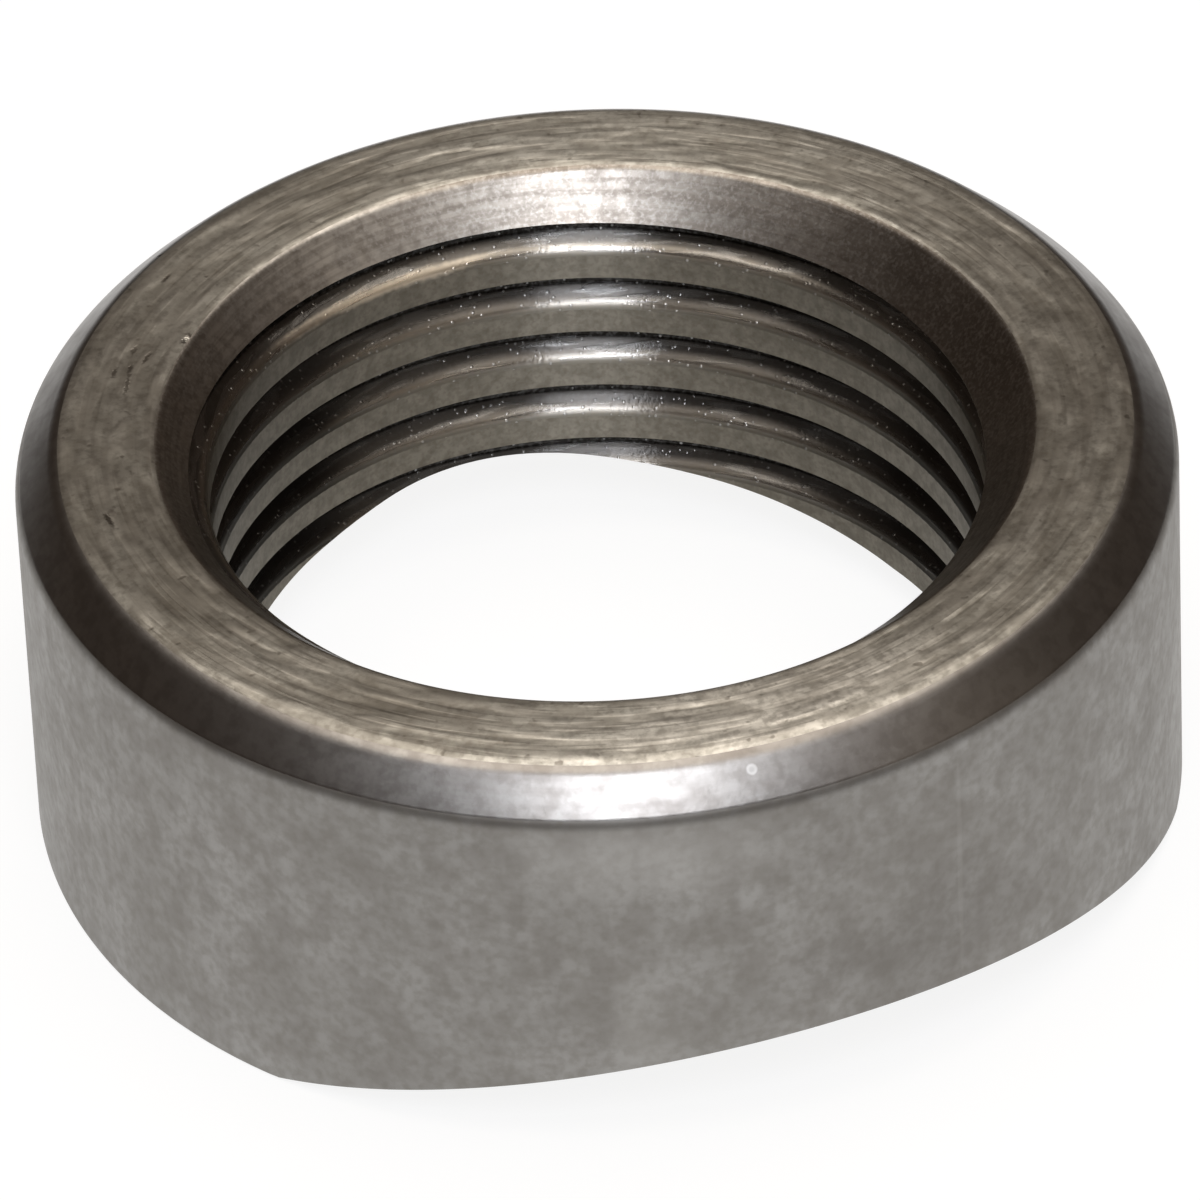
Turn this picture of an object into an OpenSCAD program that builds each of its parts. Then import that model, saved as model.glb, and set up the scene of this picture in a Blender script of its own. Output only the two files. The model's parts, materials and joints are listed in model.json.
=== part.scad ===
// Weld-in bung for an exhaust oxygen sensor.
// One turned steel ring: a tapped bore under a countersunk mouth, a chamfered rim, and a foot that is
// notched right across so that it sits astride the exhaust tube it is welded to.
// The thread axis is Z, the exhaust tube runs along Y, and the two legs stand on Z = 0.

/* [Ring] */
// Outside diameter of the bar that the ring is turned from
ring_d = 25.4; // [24.5:0.1:28]
// Height from the ends of the legs up to the sealing face
ring_h = 9.525; // [9:0.025:16]
// Leg of the 45 degree chamfer round the rim
rim_chamfer = 0.95; // [0.4:0.05:1.2]
// Radius where the chamfer runs into the sealing face
rim_round = 0.75; // [0.1:0.05:0.8]
// Radius where the chamfer runs into the outside of the bar
wall_round = 0.45; // [0.1:0.05:0.5]

/* [Thread] */
// Nominal diameter of the sensor's thread
thread_d = 18; // [12:0.5:20]
// Depth of the thread, from its crests out to its roots
thread_depth = 0.5; // [0.3:0.05:0.9]
// How far the countersunk mouth stands outside the thread, on the radius
mouth_margin = 0.6; // [0.2:0.05:1]
// Radius where the countersunk mouth runs into the sealing face
mouth_round = 0.38; // [0.1:0.02:0.6]

/* [Notch] */
// Outside diameter of the exhaust tube
tube_d = 54; // [44:1:90]
// Width of the flat that the notch leaves at the end of each leg
foot_w = 2; // [0.5:0.1:3]

/* [Hidden] */
$fn = 128;
// How far a cut runs past the faces it goes through
overrun = 1;
// How far the circle of a rounded corner stands past its straight neighbours, so that it crosses them
arc_ease = 0.0002;

// The bore is drilled to the crests of the thread
bore_d = thread_d - 2 * thread_depth;
mouth_d = thread_d + 2 * mouth_margin;
// A 45 degree countersink is as deep as it is wide
mouth_depth = (mouth_d - bore_d) / 2;

// The tube meets the plane of the feet where the two flats begin
notch_half_w = ring_d / 2 - foot_w;
tube_axis_z = -sqrt(pow(tube_d / 2, 2) - pow(notch_half_w, 2));

function unit(v) = v / norm(v);

// What is cut off a sharp corner of an outline to round it
module corner_scrap(before, tip, after, r) {
    back = unit(before - tip);
    on = unit(after - tip);
    half = acos(back * on) / 2;
    centre = tip + unit(back + on) * r / sin(half);
    start = tip + back * r / tan(half);
    end = tip + on * r / tan(half);
    difference() {
        polygon([centre, 2 * start - centre, 2 * end - centre]);
        translate(centre) circle(r = r + arc_ease);
    }
}

// Half of the ring's section, with radius along X and height along Y
module ring_section() {
    wall_foot = [ring_d / 2, 0];
    wall_top = [ring_d / 2, ring_h - rim_chamfer];
    rim_top = [ring_d / 2 - rim_chamfer, ring_h];
    mouth_top = [mouth_d / 2, ring_h];
    mouth_foot = [bore_d / 2, ring_h - mouth_depth];
    difference() {
        polygon([[bore_d / 2, 0], wall_foot, wall_top, rim_top, mouth_top, mouth_foot]);
        corner_scrap(wall_foot, wall_top, rim_top, wall_round);
        corner_scrap(wall_top, rim_top, mouth_top, rim_round);
        corner_scrap(rim_top, mouth_top, mouth_foot, mouth_round);
    }
}

// The space that the exhaust tube takes up, longer than the ring is wide
module exhaust_tube() {
    translate([0, 0, tube_axis_z])
        rotate([90, 0, 0])
            cylinder(d = tube_d, h = ring_d + 2 * overrun, center = true);
}

// The whole bung, turned first and notched last
module weld_bung() {
    color([0.47, 0.46, 0.43])
        difference() {
            rotate_extrude() ring_section();
            exhaust_tube();
        }
}

weld_bung();
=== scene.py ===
"""Looks of a weld-in oxygen sensor bung: one turned, tapped and notched ring of mild steel.

The ring is rebuilt at its real size with broken edges, its thread is cut by a helical tap, and each
surface is dressed by the way it was machined. Lengths are in millimetres until a mesh is finished.
"""

import json
import logging
import math
from dataclasses import dataclass
from enum import Enum
from typing import Any

import bmesh
import bpy
from mathutils import Matrix, Vector


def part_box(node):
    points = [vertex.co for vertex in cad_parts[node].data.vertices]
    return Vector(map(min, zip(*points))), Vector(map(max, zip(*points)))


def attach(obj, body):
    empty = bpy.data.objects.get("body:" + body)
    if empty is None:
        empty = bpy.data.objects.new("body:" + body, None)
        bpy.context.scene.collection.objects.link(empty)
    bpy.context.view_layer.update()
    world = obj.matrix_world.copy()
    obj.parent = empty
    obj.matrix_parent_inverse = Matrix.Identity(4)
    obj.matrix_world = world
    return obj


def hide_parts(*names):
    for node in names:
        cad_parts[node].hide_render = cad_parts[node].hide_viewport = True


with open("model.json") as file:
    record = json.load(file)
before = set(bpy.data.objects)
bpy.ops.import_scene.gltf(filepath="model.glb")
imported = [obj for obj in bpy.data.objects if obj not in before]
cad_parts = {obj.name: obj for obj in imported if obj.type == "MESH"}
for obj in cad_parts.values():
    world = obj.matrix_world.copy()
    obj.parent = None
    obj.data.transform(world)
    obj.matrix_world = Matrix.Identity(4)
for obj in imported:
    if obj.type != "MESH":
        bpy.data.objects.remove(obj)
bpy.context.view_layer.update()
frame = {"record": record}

LOG = logging.getLogger("weld_bung")
NODE = "weld_bung"
BODY = "root"
MM = 0.001
# Side of the square photograph, in pixels
PHOTO_PX = 1200
# Share of radius and of height in a measure down a 45 degree slope
SLOPE = 0.707
# A quarter of a turn, as the shader counts the turn of its shine
QUARTER_TURN = 0.25
# Keeps a division safe where the section lies along the tube
TINY = 1e-9

# Two values that belong together, such as a radius and a height
Point = tuple[float, float]
# A coordinate's name, with its values where a mark begins and where it is full
Reach = tuple[str, float, float]


def linear(hex_colour: str) -> tuple[float, float, float, float]:
    """Turns an sRGB hex colour into linear RGBA.

    Args:
        hex_colour: six hex digits after a hash sign.

    Returns:
        Linear red, green, blue and an alpha of 1.
    """
    parts = [int(hex_colour[i:i + 2], 16) / 255 for i in (1, 3, 5)]
    red, green, blue = (c / 12.92 if c <= 0.04045 else ((c + 0.055) / 1.055) ** 2.4 for c in parts)
    return red, green, blue, 1.0


def add(tree: bpy.types.NodeTree, kind: str, settings: dict[str, Any] | None = None,
        inputs: dict[str | int, Any] | None = None) -> bpy.types.Node:
    """Adds one node to a tree, with its settings and its inputs.

    Args:
        tree: the shader or geometry tree.
        kind: the node's type name.
        settings: properties of the node.
        inputs: values or linked sockets, by input name or number.

    Returns:
        The new node.
    """
    made = tree.nodes.new(kind)
    for name, value in (settings or {}).items():
        setattr(made, name, value)
    for key, value in (inputs or {}).items():
        if isinstance(value, bpy.types.NodeSocket):
            tree.links.new(value, made.inputs[key])
        else:
            made.inputs[key].default_value = value
    return made


class Zone(Enum):
    """Surfaces of the ring, by how each was machined; the value is its material slot."""

    WALL = 0
    RIM = 1
    FACE = 2
    MOUTH = 3
    CREST = 4
    GROOVE = 5
    NOTCH = 6


class Lay(Enum):
    """Which way marks lie on the ring; the value weighs radius and height in the measure across them."""

    GRAIN = (0.0, 0.0)
    FACED = (1.0, 0.0)
    TURNED = (0.0, 1.0)
    RIM = (SLOPE, -SLOPE)
    MOUTH = (SLOPE, SLOPE)


@dataclass(frozen=True)
class Mark:
    """One kind of mark in a steel surface, drawn by stretched noise or as scattered dots.

    Its size along is measured round the ring and its size across over the turned outline. A grain has
    its size across along the tube and its size along the other two ways. The mark comes in between the
    two values of its window, tints the steel with its colour, and adds to the roughness and, in
    millimetres, to the relief. Each reach names a radius or height, with the two values between which
    the mark comes in there.
    """

    lay: Lay
    along: float
    across: float
    colour: str
    tint: float
    window: Point = (0.40, 0.65)
    roughen: float = 0.0
    depth: float = 0.0
    detail: float = 3.0
    seed: float = 0.0
    dots: bool = False
    reaches: tuple[Reach, ...] = ()


@dataclass(frozen=True)
class Spot:
    """One wound, burr or stain, or a broad patch of painted light or shade, at a known place.

    Its length lies round the ring and its width the other two ways. It fades out between the two values
    of its edge, which are shares of its half size. Its outline is shaken by a share of its width, in
    lumps, and the last field says how many of them go across it.
    """

    radius: float
    angle: float
    height: float
    length: float
    width: float
    colour: str
    tint: float
    depth: float = 0.0
    lean: float = 0.0
    edge: Point = (1.35, 0.45)
    ragged: float = 0.8
    lumps: float = 1.4


@dataclass(frozen=True)
class SteelFinish:
    """A machined steel surface: its tone and gloss, with stains and broad patches of painted light and
    shade under the tool marks, and nicks and patches of painted light and shade over them.

    A pull above 0 draws its shine out round the ring, and one below 0 draws it out across that way.
    Sizes of marks round the ring are true at the girth radius.
    """

    name: str
    colour: str
    roughness: float
    marks: tuple[Mark, ...]
    pull: float = 0.0
    girth_radius: float = 10.0
    stains_and_painted_light: tuple[Spot, ...] = ()
    nicks_and_painted_light: tuple[Spot, ...] = ()

    def material(self) -> bpy.types.Material:
        """Builds the material.

        Returns:
            A metallic material whose colour, gloss and relief follow the marks.
        """
        made = bpy.data.materials.new(self.name)
        made.use_nodes = True
        tree = made.node_tree
        tree.nodes.clear()
        metres = add(tree, "ShaderNodeTexCoord").outputs["Object"]
        place = add(tree, "ShaderNodeVectorMath", {"operation": "SCALE"},
                    {0: metres, "Scale": 1 / MM}).outputs[0]
        axes = add(tree, "ShaderNodeSeparateXYZ", {}, {0: place}).outputs
        flat = add(tree, "ShaderNodeCombineXYZ", {}, {"X": axes["X"], "Y": axes["Y"]}).outputs[0]
        radius = add(tree, "ShaderNodeVectorMath", {"operation": "LENGTH"}, {0: flat}).outputs["Value"]
        heading = add(tree, "ShaderNodeVectorMath", {"operation": "NORMALIZE"}, {0: flat}).outputs[0]
        coordinates = {"place": place, "heading": heading, "radius": radius, "height": axes["Z"]}

        colour: Any = linear(self.colour)
        rough: Any = self.roughness
        relief: Any = 0.0
        for mark in (*self.stains_and_painted_light, *self.marks, *self.nicks_and_painted_light):
            draw = self.spot_mask if isinstance(mark, Spot) else self.amount
            amount = draw(tree, mark, coordinates)
            share = add(tree, "ShaderNodeMath", {"operation": "MULTIPLY"},
                        {0: amount, 1: mark.tint}).outputs[0]
            colour = add(tree, "ShaderNodeMix", {"data_type": "RGBA"},
                         {0: share, 6: colour, 7: linear(mark.colour)}).outputs[2]
            if isinstance(mark, Mark) and mark.roughen:
                rough = add(tree, "ShaderNodeMath", {"operation": "MULTIPLY_ADD", "use_clamp": True},
                            {0: amount, 1: mark.roughen, 2: rough}).outputs[0]
            if mark.depth:
                relief = add(tree, "ShaderNodeMath", {"operation": "MULTIPLY_ADD"},
                             {0: amount, 1: mark.depth, 2: relief}).outputs[0]
        shader = add(tree, "ShaderNodeBsdfPrincipled", {}, {
            "Metallic": 1.0, "Base Color": colour, "Roughness": rough,
            "Anisotropic": abs(self.pull), "Anisotropic Rotation": 0.0 if self.pull > 0 else QUARTER_TURN})
        if isinstance(relief, bpy.types.NodeSocket):
            bump = add(tree, "ShaderNodeBump", {}, {"Strength": 1.0, "Distance": MM, "Height": relief})
            tree.links.new(bump.outputs[0], shader.inputs["Normal"])
        if self.pull:
            tangent = add(tree, "ShaderNodeTangent", {"direction_type": "RADIAL", "axis": "Z"})
            tree.links.new(tangent.outputs[0], shader.inputs["Tangent"])
        add(tree, "ShaderNodeOutputMaterial", {}, {"Surface": shader.outputs[0]})
        return made

    def amount(self, tree: bpy.types.NodeTree, mark: Mark,
               coordinates: dict[str, bpy.types.NodeSocket]) -> bpy.types.NodeSocket:
        """Draws one kind of mark.

        Args:
            tree: the material's tree.
            mark: what the mark looks like.
            coordinates: place, heading, radius and height on the ring, in millimetres.

        Returns:
            A socket that is 1 in the mark and 0 beside it.
        """
        if mark.lay is Lay.GRAIN:
            where = add(tree, "ShaderNodeMapping", {}, {
                "Vector": coordinates["place"], "Location": (mark.seed,) * 3,
                "Scale": (1 / mark.along, 1 / mark.across, 1 / mark.along)}).outputs[0]
        else:
            over: Any = mark.seed
            for name, weight in zip(("radius", "height"), mark.lay.value):
                over = add(tree, "ShaderNodeMath", {"operation": "MULTIPLY_ADD"},
                           {0: coordinates[name], 1: weight / mark.across, 2: over}).outputs[0]
            lift = add(tree, "ShaderNodeCombineXYZ", {}, {"Z": over}).outputs[0]
            where = add(tree, "ShaderNodeVectorMath", {"operation": "MULTIPLY_ADD"}, {
                0: coordinates["heading"], 1: (self.girth_radius / mark.along,) * 3, 2: lift}).outputs[0]
        kind = "ShaderNodeTexVoronoi" if mark.dots else "ShaderNodeTexNoise"
        pattern = add(tree, kind, {}, {"Vector": where, "Scale": 1.0, "Detail": mark.detail}).outputs[0]
        bounds = [(coordinates[name], start, end) for name, start, end in mark.reaches]
        amount: Any = 1.0
        for value, start, end in [(pattern, *mark.window), *bounds]:
            inside = add(tree, "ShaderNodeMapRange", {"interpolation_type": "SMOOTHSTEP"}, {
                "Value": value, "From Min": start, "From Max": end}).outputs[0]
            amount = add(tree, "ShaderNodeMath", {"operation": "MULTIPLY"},
                         {0: amount, 1: inside}).outputs[0]
        return amount

    def spot_mask(self, tree: bpy.types.NodeTree, spot: Spot,
              coordinates: dict[str, bpy.types.NodeSocket]) -> bpy.types.NodeSocket:
        """Draws one nick, stain or patch of painted light or shade, with a ragged edge.

        Args:
            tree: the material's tree.
            spot: where it is and what it looks like.
            coordinates: place, heading, radius and height on the ring, in millimetres.

        Returns:
            A socket that is 1 in the nick and 0 beside it.
        """
        turn = math.radians(spot.angle)
        centre = (spot.radius * math.cos(turn), spot.radius * math.sin(turn), spot.height)
        shake = spot.ragged * spot.width
        ragged = add(tree, "ShaderNodeTexNoise", {}, {
            "Vector": coordinates["place"], "Scale": spot.lumps / spot.width,
            "Detail": 1.0}).outputs["Color"]
        shaken = add(tree, "ShaderNodeVectorMath", {"operation": "MULTIPLY_ADD"}, {
            0: ragged, 1: (shake,) * 3, 2: coordinates["place"]}).outputs[0]
        offset = add(tree, "ShaderNodeVectorMath", {"operation": "SUBTRACT"}, {
            0: shaken, 1: tuple(c + shake / 2 for c in centre)}).outputs[0]
        local = add(tree, "ShaderNodeMapping", {"vector_type": "TEXTURE"}, {
            "Vector": offset, "Rotation": (0.0, 0.0, turn + math.radians(spot.lean)),
            "Scale": (spot.width / 2, spot.length / 2, spot.width / 2)}).outputs[0]
        away = add(tree, "ShaderNodeVectorMath", {"operation": "LENGTH"}, {0: local}).outputs["Value"]
        return add(tree, "ShaderNodeMapRange", {"interpolation_type": "SMOOTHSTEP"}, {
            "Value": away, "From Min": spot.edge[0], "From Max": spot.edge[1]}).outputs[0]


# Radius of the wall, height of the faced top and radius of the first groove's lip, for the marks on them
WALL_R = 12.7
FACE_Z = 9.52
LIP_R = 8.53
# Edges of a broad patch that fades out slowly, mostly painted light or shade, of the painted highlight on
# the first lip and of the painted shade in the grooves
BROAD_PATCH_EDGE: Point = (1.7, 0.1)
LIP_HIGHLIGHT_EDGE: Point = (1.4, 0.3)
GROOVE_SHADE_EDGE: Point = (1.6, 0.4)

# Cold-drawn bar, tumbled: a dull grey with a fine mottle and lines along the bar, with broad painted
# highlights at the front and a broad painted shade low on the right
DRAWN_WALL = SteelFinish("cold_drawn_steel", "#a19f9c", 0.5, girth_radius=WALL_R, marks=(
    Mark(Lay.GRAIN, 2.4, 2.4, "#86837e", 0.45, (0.32, 0.70), detail=2.0, seed=3.0),
    Mark(Lay.GRAIN, 0.8, 0.8, "#85817c", 0.60, (0.36, 0.68), detail=3.0, seed=8.0),
    Mark(Lay.GRAIN, 0.24, 0.24, "#86827b", 0.45, (0.34, 0.72), roughen=0.04, depth=0.002, seed=11.0),
    Mark(Lay.TURNED, 0.5, 6.0, "#8d8984", 0.14, (0.45, 0.75), roughen=0.03, seed=5.0),
), nicks_and_painted_light=(
    # Painted highlight: pale patches at the front, under the chamfer and near the foot; painted shade: the
    # dark patch low on the right
    Spot(WALL_R, -109.0, 7.7, 5.2, 2.0, "#c6c4c1", 0.36, edge=BROAD_PATCH_EDGE),
    Spot(WALL_R, -109.0, 2.9, 1.6, 2.6, "#b4b2ae", 0.30, edge=BROAD_PATCH_EDGE),
    Spot(WALL_R, -80.0, 3.6, 6.0, 3.0, "#6f6b66", 0.38, edge=BROAD_PATCH_EDGE),
    Spot(WALL_R, -75.9, 5.2, 0.15, 6.6, "#d2d0cd", 0.06, edge=(1.2, 0.5), ragged=0.01),
))
# Chamfer cut on the lathe: brighter, smooth and a little patchy, with fine rings and one dried drop, a
# painted highlight on the left of the front and painted shade on the right
TURNED_RIM = SteelFinish("turned_steel_chamfer", "#a3a09d", 0.31, pull=0.6, girth_radius=12.3, marks=(
    Mark(Lay.RIM, 6.0, 0.16, "#857f7a", 0.25, (0.30, 0.72), roughen=0.02, seed=2.0),
    Mark(Lay.GRAIN, 0.9, 0.9, "#766e68", 0.28, (0.40, 0.68), roughen=0.02, seed=7.0),
    Mark(Lay.GRAIN, 0.34, 0.34, "#6f6964", 0.34, (0.42, 0.66), seed=27.0),
    Mark(Lay.GRAIN, 0.14, 0.14, "#8f8b87", 0.30, (0.40, 0.72), depth=0.0006, detail=1.0, seed=17.0),
), stains_and_painted_light=(
    # Painted highlight: the pale patch widens the lamp's shine to the left; painted shade: the dark patch
    # dims it to the right
    Spot(12.4, -136.0, 8.9, 4.0, 2.0, "#d6d4d1", 0.40, edge=BROAD_PATCH_EDGE),
    Spot(12.1, -67.0, 9.2, 4.5, 2.0, "#5d5751", 0.42, edge=BROAD_PATCH_EDGE),
), nicks_and_painted_light=(
    Spot(11.74, 122.2, 9.50, 0.24, 0.20, "#2e2a26", 0.85, depth=-0.02),
    Spot(12.10, -97.2, 9.18, 0.22, 0.22, "#d6d4d1", 0.50, edge=(1.3, 0.8), ragged=0.3),
    Spot(12.10, -97.2, 9.18, 0.13, 0.13, "#a3a09d", 0.70, ragged=0.3),
))
# Dark tears in the face: radius, angle, length, width, tint and lean of each
FACE_TEARS = tuple(
    Spot(radius, angle, FACE_Z, length, width, "#5a534b", tint, depth=-0.006, lean=lean)
    for radius, angle, length, width, tint, lean in (
        (10.81, 144.3, 0.38, 0.10, 0.7, 0.0),
        (10.26, 140.6, 0.44, 0.10, 0.7, -6.0),
        (10.50, 143.2, 0.34, 0.11, 0.7, 0.0),
        (10.43, 146.4, 0.74, 0.09, 0.6, 5.0),
        (10.62, 139.6, 0.34, 0.12, 0.6, 0.0),
    )
)
# Faced top, rubbed and torn: a warm grey mottle over soft turned ridges, with dark tears on one side
FACED_TOP = SteelFinish("faced_steel", "#cac8c1", 0.40, pull=-0.45, girth_radius=10.7, marks=(
    Mark(Lay.GRAIN, 0.45, 0.45, "#87827a", 0.55, (0.36, 0.66), roughen=0.05, detail=4.0, seed=4.0),
    Mark(Lay.GRAIN, 0.15, 0.15, "#7b766e", 0.45, (0.40, 0.70), depth=-0.0006, detail=2.0, seed=24.0),
    Mark(Lay.FACED, 2.0, 0.50, "#8a8479", 0.28, (0.34, 0.66), depth=-0.020, detail=0.9, seed=1.0),
    Mark(Lay.FACED, 2.6, 0.15, "#7d766d", 0.24, (0.46, 0.66), depth=-0.003, detail=1.0, seed=21.0),
    Mark(Lay.FACED, 1.1, 0.34, "#d6d2ca", 0.24, (0.42, 0.68), depth=0.007, detail=0.7, seed=9.0),
    Mark(Lay.GRAIN, 0.24, 0.24, "#5a5249", 0.55, (0.68, 0.82), depth=-0.002, detail=1.0, seed=14.0),
), stains_and_painted_light=(
    # Broad patches: paler at the front right, darker at the front left, the left and the back left
    Spot(10.6, -92.0, FACE_Z, 7.5, 2.6, "#f2efe8", 0.90, edge=BROAD_PATCH_EDGE),
    Spot(10.6, -136.0, FACE_Z, 5.0, 2.2, "#756e64", 0.60, edge=BROAD_PATCH_EDGE),
    Spot(10.4, -171.0, FACE_Z, 4.0, 2.2, "#756e64", 0.50, edge=BROAD_PATCH_EDGE),
    Spot(10.7, 101.0, FACE_Z, 4.5, 2.2, "#756e64", 0.42, edge=BROAD_PATCH_EDGE),
), nicks_and_painted_light=(
    Spot(9.67, 134.8, FACE_Z, 0.16, 0.14, "#d8d4cd", 0.7, depth=0.012),
    Spot(9.69, 135.9, FACE_Z, 0.18, 0.10, "#3f3933", 0.6, depth=-0.010),
    Spot(11.12, 125.6, FACE_Z, 0.36, 0.10, "#544d45", 0.8, depth=-0.006),
    Spot(10.90, 172.3, FACE_Z, 0.56, 0.11, "#4d463f", 0.8, depth=-0.008, lean=8.0),
    Spot(10.78, 171.6, FACE_Z, 0.34, 0.16, "#d2cdc5", 0.4, depth=0.004),
    *FACE_TEARS,
))
# Countersink cut with a chattering tool: bright and grainy where it catches the lamp, faintly ringed, with
# a painted highlight on its left and painted shade on its right
TURNED_MOUTH = SteelFinish("countersunk_steel", "#aca69f", 0.31, pull=0.45, girth_radius=9.0, marks=(
    Mark(Lay.MOUTH, 5.0, 0.14, "#786f66", 0.55, (0.36, 0.66), roughen=0.03, depth=0.0008, seed=6.0),
    Mark(Lay.GRAIN, 0.6, 0.6, "#746c64", 0.32, (0.36, 0.68), roughen=0.04, seed=16.0),
    Mark(Lay.GRAIN, 0.26, 0.26, "#6b635b", 0.40, (0.42, 0.66), seed=26.0),
    Mark(Lay.GRAIN, 0.09, 0.09, "#cfccc8", 0.35, (0.42, 0.72), depth=0.0008, detail=3.0, seed=8.0),
), stains_and_painted_light=(
    # Painted highlight: the pale patch on the left; painted shade: the dark patch on the right
    Spot(9.2, 112.0, 9.1, 8.0, 3.0, "#e6e3de", 0.65, edge=BROAD_PATCH_EDGE),
    Spot(9.0, 0.0, 9.0, 9.0, 3.0, "#4a433c", 0.58, edge=BROAD_PATCH_EDGE),
))
# Painted highlight along the lip of the first groove, in the cream of the overhead lamp's shine on its
# rounding: angle, height and tint of each stretch
LIP_PAINTED_HIGHLIGHT = tuple(
    Spot(LIP_R, angle, height, 2.8, 0.26, "#f6ecdc", tint, edge=LIP_HIGHLIGHT_EDGE, ragged=0.4)
    for angle, height, tint in ((113.0, 8.19, 0.90), (102.5, 8.09, 0.90), (93.0, 8.03, 0.80))
)
# Drilled bore left between the grooves: plain olive grey with a fine mottle, and the first groove's painted
# lip highlight running onto it
DRILLED_CREST = SteelFinish("drilled_steel", "#918c81", 0.50, pull=-0.9, girth_radius=8.5, marks=(
    Mark(Lay.TURNED, 0.12, 0.5, "#7d786d", 0.25, (0.35, 0.70), seed=2.5),
    Mark(Lay.GRAIN, 0.3, 0.3, "#69645a", 0.50, (0.36, 0.68), depth=0.0015, seed=6.5),
    Mark(Lay.GRAIN, 0.11, 0.11, "#6b6257", 0.35, (0.42, 0.70), detail=1.0, seed=1.5),
), nicks_and_painted_light=LIP_PAINTED_HIGHLIGHT)
# Tapped flanks and roots: bright at the lip, darkened below it by painted shade, lined along the tap so
# that they glint; the tap's own lines are finer than these, which are as fine as the picture can show
TAPPED_GROOVE = SteelFinish("tapped_steel", "#aaa49b", 0.28, pull=-0.95, girth_radius=8.8, marks=(
    # Painted shade: darker flanks deep in the grooves, and near the lip on the lower turns
    Mark(Lay.GRAIN, 0.5, 0.5, "#686664", 0.85, (0.10, 0.35), seed=12.5, reaches=(("radius", 8.62, 8.74),)),
    Mark(Lay.GRAIN, 0.5, 0.5, "#767370", 0.80, (0.10, 0.35), seed=2.5,
         reaches=(("radius", 8.53, 8.62), ("height", 7.95, 7.75))),
    Mark(Lay.TURNED, 1.4, 0.10, "#c8c8c8", 0.30, (0.50, 0.64), roughen=-0.04, depth=0.003, detail=1.0,
         seed=3.5),
    Mark(Lay.GRAIN, 0.3, 0.3, "#837e73", 0.90, (0.05, 0.20), roughen=0.26, seed=6.5,
         reaches=(("radius", 8.55, 8.505),)),
    # Painted shade: the roots near black
    Mark(Lay.GRAIN, 0.5, 0.5, "#1c1a18", 0.92, (0.05, 0.25), seed=7.5, reaches=(("radius", 8.93, 8.985),)),
    Mark(Lay.GRAIN, 0.10, 0.10, "#8c8c8c", 0.25, (0.40, 0.70), depth=0.0010, detail=2.0, seed=15.5),
    Mark(Lay.GRAIN, 0.19, 0.19, "#e4e4e4", 0.45, (0.22, 0.10), depth=0.005, detail=0.0, seed=5.5,
         dots=True),
), nicks_and_painted_light=(
    # Painted shade: broad dark patches over the grooves on both sides of the back
    Spot(8.8, 128.0, 3.4, 9.0, 8.0, "#1f1d1b", 0.75, edge=GROOVE_SHADE_EDGE),
    Spot(8.8, 8.0, 3.4, 9.0, 8.0, "#1f1d1b", 0.75, edge=GROOVE_SHADE_EDGE),
    # Painted highlight on the first groove's lip
    *LIP_PAINTED_HIGHLIGHT,
))
# Notch milled by a cutter of the tube's own size: fine lines across the foot
MILLED_NOTCH = SteelFinish("milled_steel", "#9a9792", 0.38, marks=(
    Mark(Lay.GRAIN, 60.0, 0.13, "#7d7973", 0.35, (0.36, 0.66), roughen=0.06, depth=0.0015, detail=1.0,
         seed=1.5),
    Mark(Lay.GRAIN, 0.5, 0.5, "#85817b", 0.45, (0.40, 0.68), seed=9.5),
    Mark(Lay.GRAIN, 0.16, 0.16, "#75716b", 0.35, (0.42, 0.70), depth=0.001, detail=2.0, seed=19.5),
))

FINISHES = {
    Zone.WALL: DRAWN_WALL,
    Zone.RIM: TURNED_RIM,
    Zone.FACE: FACED_TOP,
    Zone.MOUTH: TURNED_MOUTH,
    Zone.CREST: DRILLED_CREST,
    Zone.GROOVE: TAPPED_GROOVE,
    Zone.NOTCH: MILLED_NOTCH,
}


def rounded(before: Point, corner: Point, after: Point, radius: float, steps: int) -> list[Point]:
    """Rounds one corner of an outline.

    Args:
        before: a point on the edge that comes in.
        corner: the sharp corner.
        after: a point on the edge that goes out.
        radius: radius of the arc.
        steps: number of chords in the arc.

    Returns:
        Points along the arc, from the first edge to the second.
    """
    tip = Vector(corner)
    back = (Vector(before) - tip).normalized()
    on = (Vector(after) - tip).normalized()
    half = back.angle(on) / 2
    centre = tip + (back + on).normalized() * (radius / math.sin(half))
    first = tip + back * (radius / math.tan(half)) - centre
    last = tip + on * (radius / math.tan(half)) - centre
    sweep = first.angle_signed(last)
    turns = (Matrix.Rotation(-sweep * i / steps, 2) for i in range(steps + 1))
    return [tuple(centre + turn @ first) for turn in turns]


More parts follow.
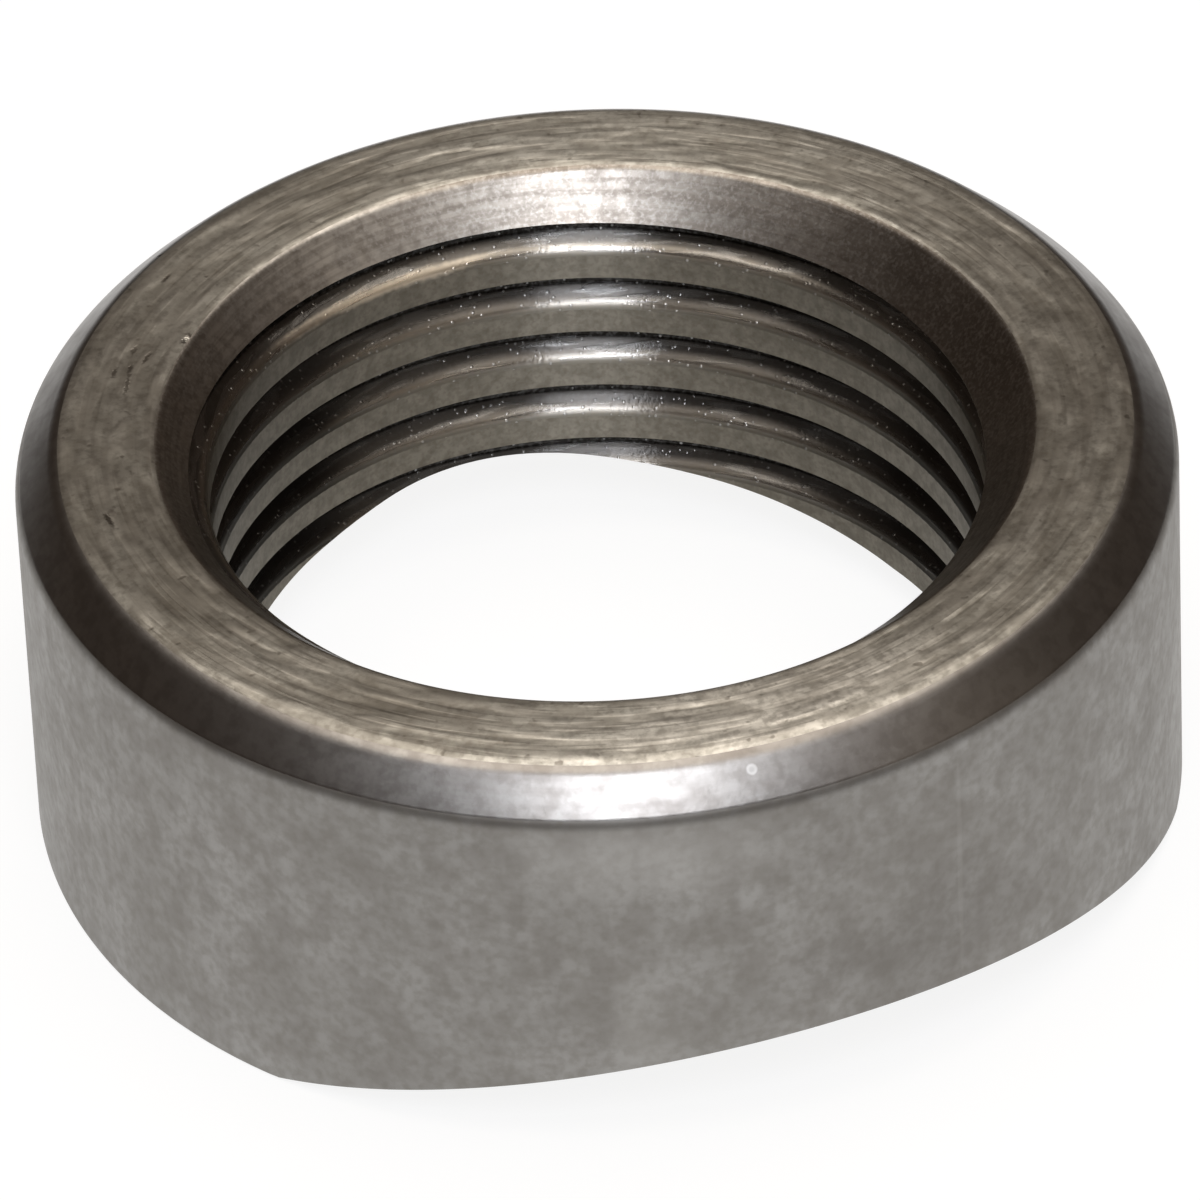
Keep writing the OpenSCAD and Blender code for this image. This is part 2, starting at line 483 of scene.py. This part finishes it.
@dataclass
class RingBlank:
    """The ring as turned and notched, before it is tapped.

    The two shares say how far into a rounding, against its radius, the face's and the wall's finish go.
    """

    ring_r: float
    ring_h: float
    bore_r: float
    rim_chamfer: float = 0.95
    mouth_r: float = 9.6
    tube_r: float = 27.0
    foot_w: float = 2.0
    rim_round: float = 0.75
    wall_round: float = 0.45
    mouth_round: float = 0.38
    foot_round: float = 0.08
    face_share: float = 0.07
    wall_share: float = 0.20
    columns: int = 320
    arc_steps: int = 6
    wall_rows: int = 8
    bore_rows: int = 6
    notch_rows: int = 6
    foot_rows: int = 3
    weld: float = 1e-4

    def foot_height(self, x: float) -> float:
        """Gives the height of the foot's lower face.

        Args:
            x: distance from the middle of the notch.

        Returns:
            Height above the plane of the feet: the tube's roof, or 0 on the flats.
        """
        axis_drop = math.sqrt(self.tube_r ** 2 - (self.ring_r - self.foot_w) ** 2)
        return max(0.0, math.sqrt(self.tube_r ** 2 - x * x) - axis_drop)

    def top_outline(self) -> list[Point]:
        """Gives the turned outline, the same all round.

        Returns:
            Radius and height from the top of the wall, over the rim and face, to the foot of the mouth.
        """
        wall_top = (self.ring_r, self.ring_h - self.rim_chamfer)
        rim_top = (self.ring_r - self.rim_chamfer, self.ring_h)
        mouth_top = (self.mouth_r, self.ring_h)
        mouth_foot = (self.bore_r, self.ring_h - (self.mouth_r - self.bore_r))
        return [
            *rounded((self.ring_r, 0.0), wall_top, rim_top, self.wall_round, self.arc_steps),
            *rounded(wall_top, rim_top, mouth_top, self.rim_round, self.arc_steps),
            *rounded(rim_top, mouth_top, mouth_foot, self.mouth_round, self.arc_steps),
            mouth_foot,
        ]

    def section(self, angle: float, top: list[Point]) -> list[tuple[Point, Zone]]:
        """Gives the ring's closed outline on one side of the axis.

        Args:
            angle: direction of the section round the axis.
            top: the turned outline.

        Returns:
            Each point with the zone of the stretch that leaves it.
        """
        cosine = abs(math.cos(angle))
        ease = self.foot_round
        outer = self.ring_r - ease
        edge = min(outer, (self.ring_r - self.foot_w) / max(cosine, TINY))
        made: list[tuple[Point, Zone]] = []
        for i in range(self.notch_rows):
            r = self.bore_r + (edge - self.bore_r) * i / self.notch_rows
            made.append(((r, self.foot_height(r * cosine)), Zone.NOTCH))
        for i in range(self.foot_rows):
            r = edge + (outer - edge) * i / self.foot_rows
            made.append(((r, self.foot_height(r * cosine)), Zone.NOTCH))
        for i in range(self.arc_steps):
            turn = math.pi / 2 * i / self.arc_steps
            r = outer + ease * math.sin(turn)
            made.append(((r, self.foot_height(r * cosine) + ease * (1 - math.cos(turn))), Zone.WALL))
        wall_foot = self.foot_height(self.ring_r * cosine) + ease
        for i in range(self.wall_rows):
            z = wall_foot + (top[0][1] - wall_foot) * i / self.wall_rows
            made.append(((self.ring_r, z), Zone.WALL))
        made += [(here, self.zone(here, there)) for here, there in zip(top, top[1:])]
        bore_foot = self.foot_height(self.bore_r * cosine)
        for i in range(self.bore_rows):
            z = top[-1][1] + (bore_foot - top[-1][1]) * i / self.bore_rows
            made.append(((self.bore_r, z), Zone.CREST))
        return made

    def zone(self, here: Point, there: Point) -> Zone:
        """Names the zone of a stretch of the turned outline.

        Args:
            here: radius and height of its first point.
            there: radius and height of its last point.

        Returns:
            The zone, where the two sides of a corner share its rounding.
        """
        middle_r, middle_z = (here[0] + there[0]) / 2, (here[1] + there[1]) / 2
        outer = middle_r > (self.ring_r + self.mouth_r) / 2
        if middle_z > self.ring_h - self.face_share * (self.rim_round if outer else self.mouth_round):
            return Zone.FACE
        if middle_r > self.ring_r - self.wall_share * self.wall_round:
            return Zone.WALL
        return Zone.RIM if outer else Zone.MOUTH

    def build(self, materials: dict[Zone, bpy.types.Material]) -> bpy.types.Object:
        """Builds the blank in millimetres.

        Args:
            materials: the material of each zone.

        Returns:
            A closed mesh object with a material slot for each zone.
        """
        top = self.top_outline()
        points: list[Vector] = []
        zones: list[int] = []
        for column in range(self.columns):
            angle = 2 * math.pi * column / self.columns
            outline = self.section(angle, top)
            zones = [zone.value for _, zone in outline]
            points += [Vector((r * math.cos(angle), r * math.sin(angle), z)) for (r, z), _ in outline]
        rows = len(zones)
        faces = []
        for column in range(self.columns):
            here, there = column * rows, (column + 1) % self.columns * rows
            for i in range(rows):
                j = (i + 1) % rows
                faces.append((here + i, there + i, there + j, here + j))
        mesh = bpy.data.meshes.new("ring_blank")
        mesh.from_pydata(points, [], faces)
        for zone in Zone:
            mesh.materials.append(materials[zone])
        mesh.polygons.foreach_set("material_index", zones * self.columns)
        work = bmesh.new()
        work.from_mesh(mesh)
        bmesh.ops.remove_doubles(work, verts=work.verts, dist=self.weld)
        work.to_mesh(mesh)
        work.free()
        blank = bpy.data.objects.new("ring_blank", mesh)
        bpy.context.scene.collection.objects.link(blank)
        return blank


@dataclass
class ThreadTap:
    """The tap that cuts the sensor's thread: one V-shaped tooth swept along a right-hand helix.

    The root's share is half of the flat at the root, against the pitch.
    """

    crest_r: float
    root_r: float = 9.0
    pitch: float = 1.5
    groove_height: float = 0.515
    flank_angle: float = 30.0
    root_share: float = 1 / 16
    lip_round: float = 0.30
    root_round: float = 0.06
    overcut: float = 0.006
    reach_in: float = 0.4
    run_out: float = 2.0
    steps_per_turn: int = 180
    arc_steps: int = 4

    def tooth(self) -> bpy.types.Object:
        """Draws the outline of the tap's tooth.

        Returns:
            A closed curve object, with depth from the crest along X. Y points down once it is swept, so
            that the lip below the groove is rounded and the brow above it is sharp.
        """
        outline = self.flank(self.lip_round) + [(x, -y) for x, y in reversed(self.flank(0.0))]
        curve = bpy.data.curves.new("tap_tooth", "CURVE")
        curve.dimensions = "2D"
        curve.fill_mode = "NONE"
        spline = curve.splines.new("POLY")
        spline.points.add(len(outline) - 1)
        for point, (x, y) in zip(spline.points, outline):
            point.co = (x, y, 0.0, 1.0)
        spline.use_cyclic_u = True
        made = bpy.data.objects.new("tap_tooth", curve)
        bpy.context.scene.collection.objects.link(made)
        return made

    def flank(self, edge_round: float) -> list[Point]:
        """Draws one side of the tooth.

        Args:
            edge_round: radius of the edge that it leaves on the bore, or 0 for a sharp one.

        Returns:
            Depth and distance from the groove's middle, from the root to the tooth's inner end.
        """
        depth = self.root_r - self.crest_r
        slope = math.tan(math.radians(self.flank_angle))
        root = (depth, self.pitch * self.root_share)
        crest = (-self.overcut, root[1] + (depth + self.overcut) * slope)
        side = rounded((depth, 0.0), root, crest, self.root_round, self.arc_steps)
        if edge_round:
            along_bore = (crest[0], crest[1] + self.pitch)
            side += rounded(root, crest, along_bore, edge_round, self.arc_steps)
        else:
            side.append(crest)
        return [*side, (-self.reach_in, side[-1][1])]

    def tree(self) -> bpy.types.NodeTree:
        """Builds the geometry nodes that sweep the tooth along its helix and cut it out of a blank.

        Returns:
            A tree with named inputs for its sizes.
        """
        tree = bpy.data.node_groups.new("tap_thread", "GeometryNodeTree")
        sockets = {
            "Blank": "NodeSocketGeometry", "Tooth": "NodeSocketObject", "Pitch": "NodeSocketFloat",
            "Crest radius": "NodeSocketFloat", "Turns": "NodeSocketFloat",
            "Steps per turn": "NodeSocketInt", "First groove": "NodeSocketFloat",
            "Groove steel": "NodeSocketMaterial",
        }
        for name, kind in sockets.items():
            tree.interface.new_socket(name, in_out="INPUT", socket_type=kind)
        tree.interface.new_socket("Tapped", in_out="OUTPUT", socket_type="NodeSocketGeometry")
        given = add(tree, "NodeGroupInput").outputs
        rise = add(tree, "ShaderNodeMath", {"operation": "MULTIPLY"},
                   {0: given["Pitch"], 1: given["Turns"]}).outputs[0]
        helix = add(tree, "GeometryNodeCurveSpiral", {}, {
            "Resolution": given["Steps per turn"], "Rotations": given["Turns"],
            "Height": rise, "Reverse": True,
            "Start Radius": given["Crest radius"], "End Radius": given["Crest radius"]}).outputs[0]
        level = add(tree, "GeometryNodeSetCurveNormal", {"mode": "Z_UP"}, {"Curve": helix}).outputs[0]
        lift = add(tree, "ShaderNodeCombineXYZ", {}, {"Z": given["First groove"]}).outputs[0]
        path = add(tree, "GeometryNodeTransform", {}, {"Geometry": level, "Translation": lift}).outputs[0]
        tooth = add(tree, "GeometryNodeObjectInfo", {}, {"Object": given["Tooth"]}).outputs["Geometry"]
        swept = add(tree, "GeometryNodeCurveToMesh", {},
                    {"Curve": path, "Profile Curve": tooth, "Fill Caps": True}).outputs[0]
        marked = add(tree, "GeometryNodeStoreNamedAttribute", {"data_type": "BOOLEAN", "domain": "FACE"},
                     {"Geometry": swept, "Name": "groove", "Value": True}).outputs[0]
        cut = add(tree, "GeometryNodeMeshBoolean", {"operation": "DIFFERENCE", "solver": "MANIFOLD"},
                  {"Mesh 1": given["Blank"], "Mesh 2": marked}).outputs[0]
        real = add(tree, "GeometryNodeRealizeInstances", {}, {"Geometry": cut}).outputs[0]
        groove = add(tree, "GeometryNodeInputNamedAttribute", {"data_type": "BOOLEAN"}, {"Name": "groove"})
        dressed = add(tree, "GeometryNodeSetMaterial", {}, {
            "Geometry": real, "Selection": groove.outputs["Attribute"], "Material": given["Groove steel"]})
        add(tree, "NodeGroupOutput", {}, {"Tapped": dressed.outputs[0]})
        return tree

    def cut(self, blank: bpy.types.Object, height: float, steel: bpy.types.Material) -> bpy.types.Mesh:
        """Taps a blank.

        Args:
            blank: the turned ring.
            height: height of the ring.
            steel: finish of the grooves.

        Returns:
            The tapped ring as a plain mesh, in millimetres.
        """
        tooth = self.tooth()
        first = self.groove_height - self.pitch * math.ceil(self.run_out / self.pitch)
        sizes = {
            "Tooth": tooth, "Pitch": self.pitch, "Crest radius": self.crest_r,
            "Turns": (height + self.run_out - first) / self.pitch, "Steps per turn": self.steps_per_turn,
            "First groove": first, "Groove steel": steel,
        }
        tree = self.tree()
        modifier = blank.modifiers.new("tap_thread", "NODES")
        modifier.node_group = tree
        for socket in tree.interface.items_tree:
            if socket.name in sizes:
                modifier[socket.identifier] = sizes[socket.name]
        graph = bpy.context.evaluated_depsgraph_get()
        mesh = bpy.data.meshes.new_from_object(blank.evaluated_get(graph))
        blank.modifiers.remove(modifier)
        bpy.data.objects.remove(tooth)
        return mesh


@dataclass
class WeldBung:
    """The whole bung, which stands for the solid of the same name."""

    blank: RingBlank
    tap: ThreadTap
    sharp_angle: float = 32.0
    weld: float = 1e-5

    def build(self) -> bpy.types.Object:
        """Turns, notches, taps and dresses the ring.

        Returns:
            The finished piece, in metres at the origin, riding on the root body.
        """
        materials = {zone: finish.material() for zone, finish in FINISHES.items()}
        blank = self.blank.build(materials)
        mesh = self.tap.cut(blank, self.blank.ring_h, materials[Zone.GROOVE])
        bpy.data.objects.remove(blank)
        self.clean(mesh)
        mesh.name = "tapped_ring"
        piece = bpy.data.objects.new("tapped_ring", mesh)
        bpy.context.scene.collection.objects.link(piece)
        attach(piece, BODY)
        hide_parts(NODE)
        return piece

    def clean(self, mesh: bpy.types.Mesh) -> None:
        """Welds stray points, brings the mesh to metres and shades it smooth up to its real edges.

        Args:
            mesh: the tapped ring in millimetres.
        """
        work = bmesh.new()
        work.from_mesh(mesh)
        bmesh.ops.remove_doubles(work, verts=work.verts, dist=self.weld)
        bmesh.ops.scale(work, vec=(MM, MM, MM), verts=work.verts)
        work.to_mesh(mesh)
        work.free()
        mesh.polygons.foreach_set("use_smooth", [True] * len(mesh.polygons))
        mesh.set_sharp_from_angle(angle=math.radians(self.sharp_angle))
        self.part_grooves(mesh)

    def part_grooves(self, mesh: bpy.types.Mesh) -> None:
        """Marks the borders of the thread's grooves as sharp, so that the crests shade as a plain bore.

        Args:
            mesh: the tapped ring.
        """
        sides: dict[tuple[int, int], set[bool]] = {}
        for face in mesh.polygons:
            for key in face.edge_keys:
                sides.setdefault(key, set()).add(face.material_index == Zone.GROOVE.value)
        for edge in mesh.edges:
            if len(sides[edge.key]) > 1:
                edge.use_edge_sharp = True


@dataclass(frozen=True)
class Lamp:
    """A square soft box that faces the bung."""

    name: str
    azimuth: float
    elevation: float
    distance: float
    side: float
    radiance: float
    colour: str

    def build(self, aim: Vector) -> None:
        """Hangs the lamp.

        Args:
            aim: the point it faces, in metres.
        """
        light = bpy.data.lights.new(self.name, "AREA")
        light.shape = "SQUARE"
        light.size = self.side * MM
        light.energy = self.radiance * math.pi * light.size ** 2
        light.color = linear(self.colour)[:3]
        lamp = bpy.data.objects.new(self.name, light)
        out = direction(self.azimuth, self.elevation)
        lamp.location = aim + out * self.distance * MM
        lamp.rotation_mode = "QUATERNION"
        lamp.rotation_quaternion = out.to_track_quat("Z", "Y")
        bpy.context.scene.collection.objects.link(lamp)


def direction(azimuth: float, elevation: float) -> Vector:
    """Gives the way out towards a camera or lamp.

    Args:
        azimuth: degrees round the axis, where 0 stands in front at -Y and 90 at +X.
        elevation: degrees above the floor.

    Returns:
        A unit vector.
    """
    a, e = math.radians(azimuth), math.radians(elevation)
    return Vector((math.sin(a) * math.cos(e), -math.cos(a) * math.cos(e), math.sin(e)))


@dataclass
class Studio:
    """A white floor, three soft boxes and the camera that took the photograph."""

    azimuth: float = -21.48
    elevation: float = 38.146
    roll: float = -2.509
    distance: float = 292.89
    focal_px: float = 13318.0
    aim: tuple[float, float, float] = (-0.052, 0.020, 4.685)
    sensor: float = 36.0
    floor_size: float = 600.0
    floor_drop: float = 0.02
    white_to: float = 32.0
    fades_by: float = 110.0
    far_white: float = 0.12
    glow: float = 0.82
    glow_strength: float = 1.06
    room_glow: float = 0.058
    room_colour: str = "#ffdfc6"
    lamps: tuple[Lamp, ...] = (
        Lamp("front_soft_box", -17.5, 52.0, 320.0, 105.0, 10.0, "#f4f8ff"),
        Lamp("overhead_soft_box", 150.0, 84.0, 450.0, 500.0, 2.1, "#fff6ea"),
        Lamp("right_soft_box", 45.0, 40.0, 420.0, 260.0, 0.25, "#fff0dc"),
    )

    def build(self) -> None:
        """Sets up the floor, the lamps, the world and the camera."""
        aim = Vector(self.aim) * MM
        self.floor()
        self.world()
        self.camera(aim)
        for lamp in self.lamps:
            lamp.build(aim)
        bpy.context.scene.view_settings.view_transform = "Standard"

    def floor(self) -> None:
        """Lays a white floor that fades to grey away from the bung."""
        half = self.floor_size / 2 * MM
        drop = -self.floor_drop * MM
        corners = [(-half, -half, drop), (half, -half, drop), (half, half, drop), (-half, half, drop)]
        mesh = bpy.data.meshes.new("floor")
        mesh.from_pydata(corners, [], [(0, 1, 2, 3)])
        mesh.materials.append(self.floor_paint())
        floor = bpy.data.objects.new("floor", mesh)
        bpy.context.scene.collection.objects.link(floor)

    def floor_paint(self) -> bpy.types.Material:
        """Makes the floor's matt white, which keeps the shadow but stays pale in it.

        Returns:
            The material.
        """
        made = bpy.data.materials.new("matt_white_card")
        made.use_nodes = True
        tree = made.node_tree
        tree.nodes.clear()
        place = add(tree, "ShaderNodeTexCoord").outputs["Object"]
        away = add(tree, "ShaderNodeVectorMath", {"operation": "LENGTH"}, {0: place}).outputs["Value"]
        white = add(tree, "ShaderNodeMapRange", {"interpolation_type": "SMOOTHSTEP"}, {
            "Value": away, "From Min": self.white_to * MM, "From Max": self.fades_by * MM,
            "To Min": 1.0, "To Max": self.far_white}).outputs[0]
        ray = add(tree, "ShaderNodeLightPath").outputs
        seen: Any = 0.0
        for kind in ("Is Camera Ray", "Is Glossy Ray", "Is Transmission Ray"):
            seen = add(tree, "ShaderNodeMath", {"operation": "MAXIMUM"}, {0: ray[kind], 1: seen}).outputs[0]
        glow = add(tree, "ShaderNodeMath", {"operation": "MULTIPLY"}, {0: seen, 1: self.glow}).outputs[0]
        lit = add(tree, "ShaderNodeBsdfDiffuse", {}, {"Color": white})
        own = add(tree, "ShaderNodeEmission", {}, {"Color": white, "Strength": self.glow_strength})
        paint = add(tree, "ShaderNodeMixShader", {}, {0: glow, 1: lit.outputs[0], 2: own.outputs[0]})
        add(tree, "ShaderNodeOutputMaterial", {}, {"Surface": paint.outputs[0]})
        return made

    def world(self) -> None:
        """Sets a dim, even room round the floor."""
        world = bpy.data.worlds.new("room")
        world.use_nodes = True
        world.node_tree.nodes.clear()
        room = add(world.node_tree, "ShaderNodeBackground", {}, {
            "Color": linear(self.room_colour), "Strength": self.room_glow})
        add(world.node_tree, "ShaderNodeOutputWorld", {}, {"Surface": room.outputs[0]})
        bpy.context.scene.world = world

    def camera(self, aim: Vector) -> None:
        """Sets the camera where the photograph was taken.

        Args:
            aim: the point at the middle of the picture, in metres.
        """
        data = bpy.data.cameras.new("photo_camera")
        data.sensor_width = self.sensor
        data.lens = self.focal_px / PHOTO_PX * self.sensor
        camera = bpy.data.objects.new("photo_camera", data)
        out = direction(self.azimuth, self.elevation)
        roll = Matrix.Rotation(math.radians(self.roll), 3, "Z").to_quaternion()
        camera.rotation_mode = "QUATERNION"
        camera.rotation_quaternion = out.to_track_quat("Z", "Y") @ roll
        camera.location = aim + out * self.distance * MM
        bpy.context.scene.collection.objects.link(camera)
        bpy.context.scene.camera = camera


def main() -> None:
    """Builds the bung, its stage and the camera, and reports each piece."""
    logging.basicConfig(level=logging.INFO, format="%(name)s: %(message)s")
    low, high = (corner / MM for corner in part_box(NODE))
    thread = next(m for m in frame["record"]["mounts"] if m["name"] == "sensor_thread")
    bore_r = thread["dims"]["r_mm"]
    bung = WeldBung(RingBlank((high.x - low.x) / 2, high.z - low.z, bore_r), ThreadTap(bore_r))
    piece = bung.build()
    LOG.info("%s: %d faces", piece.name, len(piece.data.polygons))
    Studio().build()


if __name__ == "__main__":
    main()
